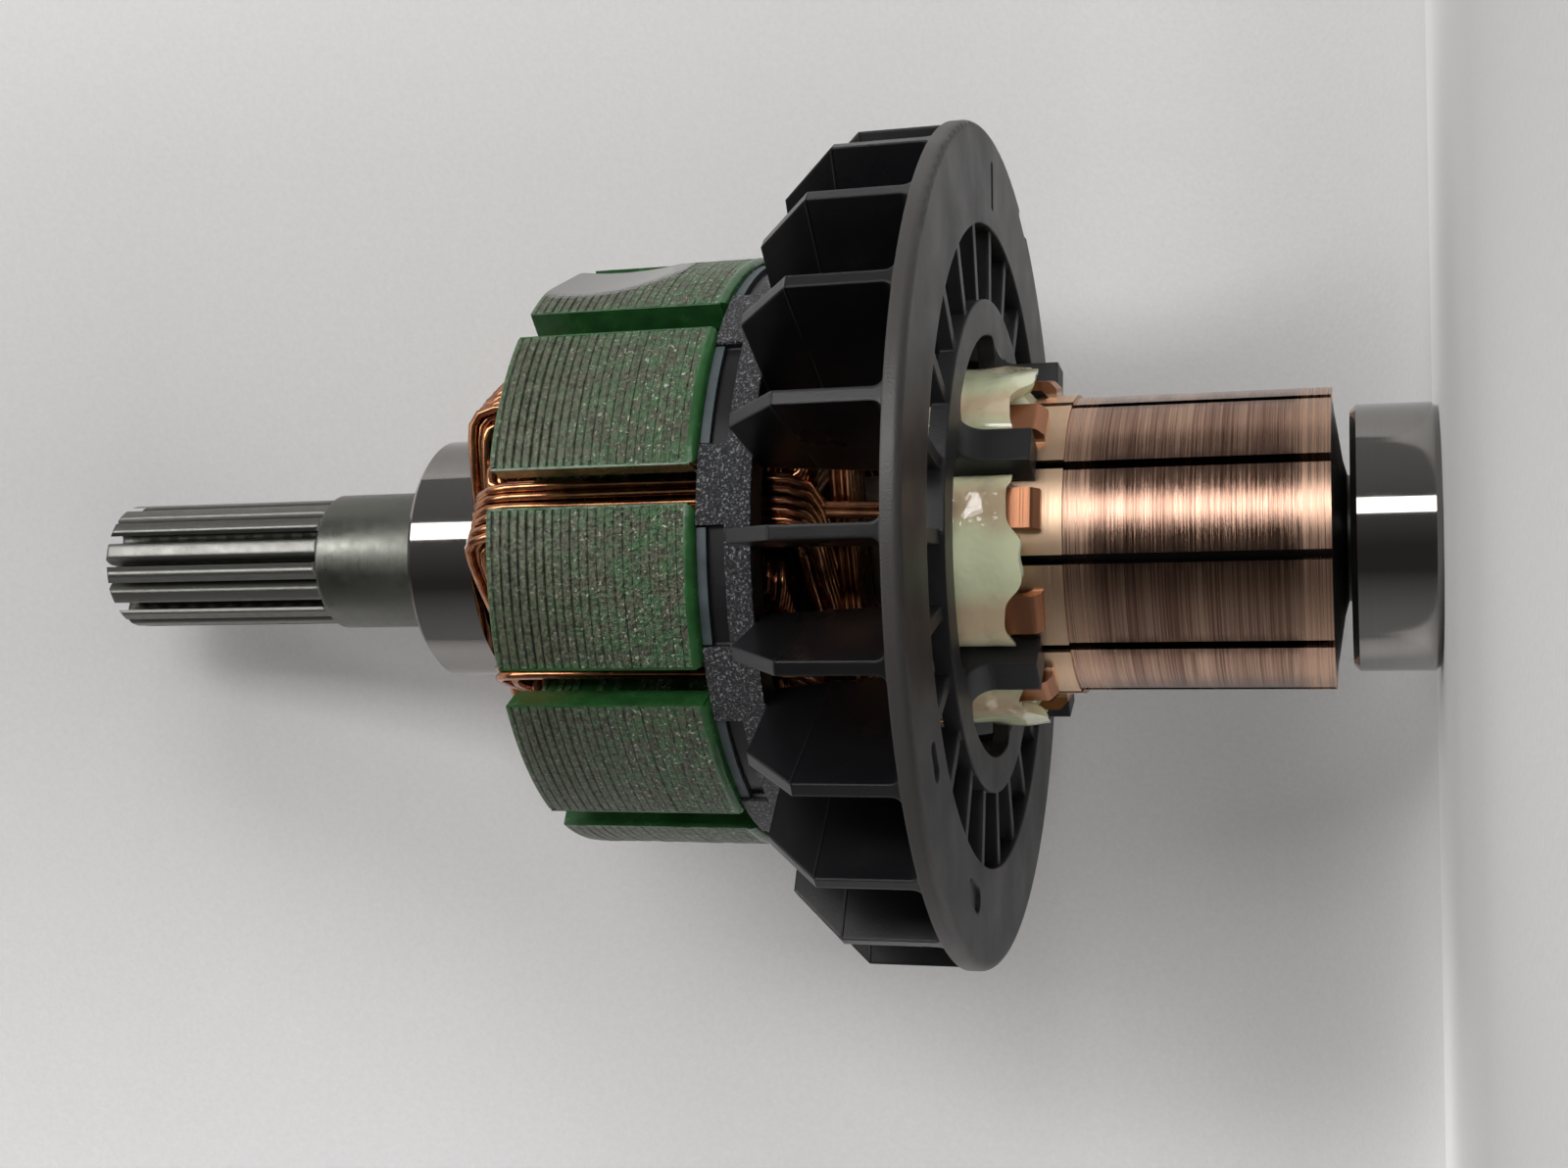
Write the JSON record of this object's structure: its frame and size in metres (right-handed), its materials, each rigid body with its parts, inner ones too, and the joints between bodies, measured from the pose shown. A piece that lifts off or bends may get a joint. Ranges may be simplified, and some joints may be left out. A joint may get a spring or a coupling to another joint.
{
  "type": "motor armature",
  "caption": "Wound motor armature: laminated core, commutator with resin-bound hooks, radial fan, geared pinion and a ball bearing at each end of the shaft.",
  "frame": {"origin": "middle of the outer face of the commutator end bearing, on which the armature stands", "axes": "+Z along the shaft towards the pinion"},
  "size_m": [0.0528, 0.0528, 0.0889],
  "materials": {
    "shaft_steel": "ground",
    "pinion_steel": "turned and hobbed, matte oxide",
    "core_coated_steel": "green insulating coat, worn off the tooth tips",
    "copper_wire": "enamelled copper",
    "insulating_board": "matte board",
    "insulating_sleeve": "matte",
    "fan_plastic": "black, fine mould grain",
    "commutator_plastic": "black moulding",
    "copper_bar": "copper, brush-worn",
    "resin": "glossy cured resin",
    "bearing_steel": "ground and polished",
    "ball_steel": "polished",
    "cage_plastic": "moulded",
    "shield_steel": "pressed sheet"
  },
  "bodies": {
    "rotor": {"shaft": "shaft_steel", "pinion": "pinion_steel", "lamination_stack": "core_coated_steel", "winding": "copper_wire", "seat_disc": "insulating_board", "drive_end_sleeve": "insulating_sleeve", "fan_end_sleeve": "insulating_sleeve", "fan": "fan_plastic", "commutator_moulding": "commutator_plastic", "commutator_bar_01": "copper_bar", "commutator_bar_02": "copper_bar", "commutator_bar_03": "copper_bar", "commutator_bar_04": "copper_bar", "commutator_bar_05": "copper_bar", "commutator_bar_06": "copper_bar", "commutator_bar_07": "copper_bar", "commutator_bar_08": "copper_bar", "commutator_bar_09": "copper_bar", "commutator_bar_10": "copper_bar", "resin_bead_1": "resin", "resin_bead_2": "resin", "resin_bead_3": "resin", "resin_bead_4": "resin", "resin_bead_5": "resin", "end_bearing_inner_ring": "bearing_steel", "drive_bearing_inner_ring": "bearing_steel"},
    "end_bearing_outer": {"end_bearing_outer_ring": "bearing_steel", "end_bearing_lower_shield": "shield_steel", "end_bearing_upper_shield": "shield_steel"},
    "end_bearing_cage": {"end_bearing_cage": "cage_plastic", "end_bearing_balls": "ball_steel"},
    "drive_bearing_outer": {"drive_bearing_outer_ring": "bearing_steel", "drive_bearing_lower_shield": "shield_steel", "drive_bearing_upper_shield": "shield_steel"},
    "drive_bearing_cage": {"drive_bearing_cage": "cage_plastic", "drive_bearing_balls": "ball_steel"}
  },
  "joints": [
    {"name": "end_bearing_spin", "type": "hinge", "parent": "rotor", "child": "end_bearing_outer", "pos_m": [0, 0, 0.0025], "axis": [0, 0, 1], "continuous": true},
    {"name": "end_bearing_cage_spin", "type": "hinge", "parent": "rotor", "child": "end_bearing_cage", "pos_m": [0, 0, 0.0025], "axis": [0, 0, 1], "continuous": true},
    {"name": "drive_bearing_spin", "type": "hinge", "parent": "rotor", "child": "drive_bearing_outer", "pos_m": [0, 0, 0.0613], "axis": [0, 0, 1], "continuous": true},
    {"name": "drive_bearing_cage_spin", "type": "hinge", "parent": "rotor", "child": "drive_bearing_cage", "pos_m": [0, 0, 0.0613], "axis": [0, 0, 1], "continuous": true}
  ],
  "couplings": [
    {"joint": "end_bearing_cage_spin", "follows": "end_bearing_spin", "ratio": 0.63104},
    {"joint": "drive_bearing_cage_spin", "follows": "drive_bearing_spin", "ratio": 0.63104}
  ]
}
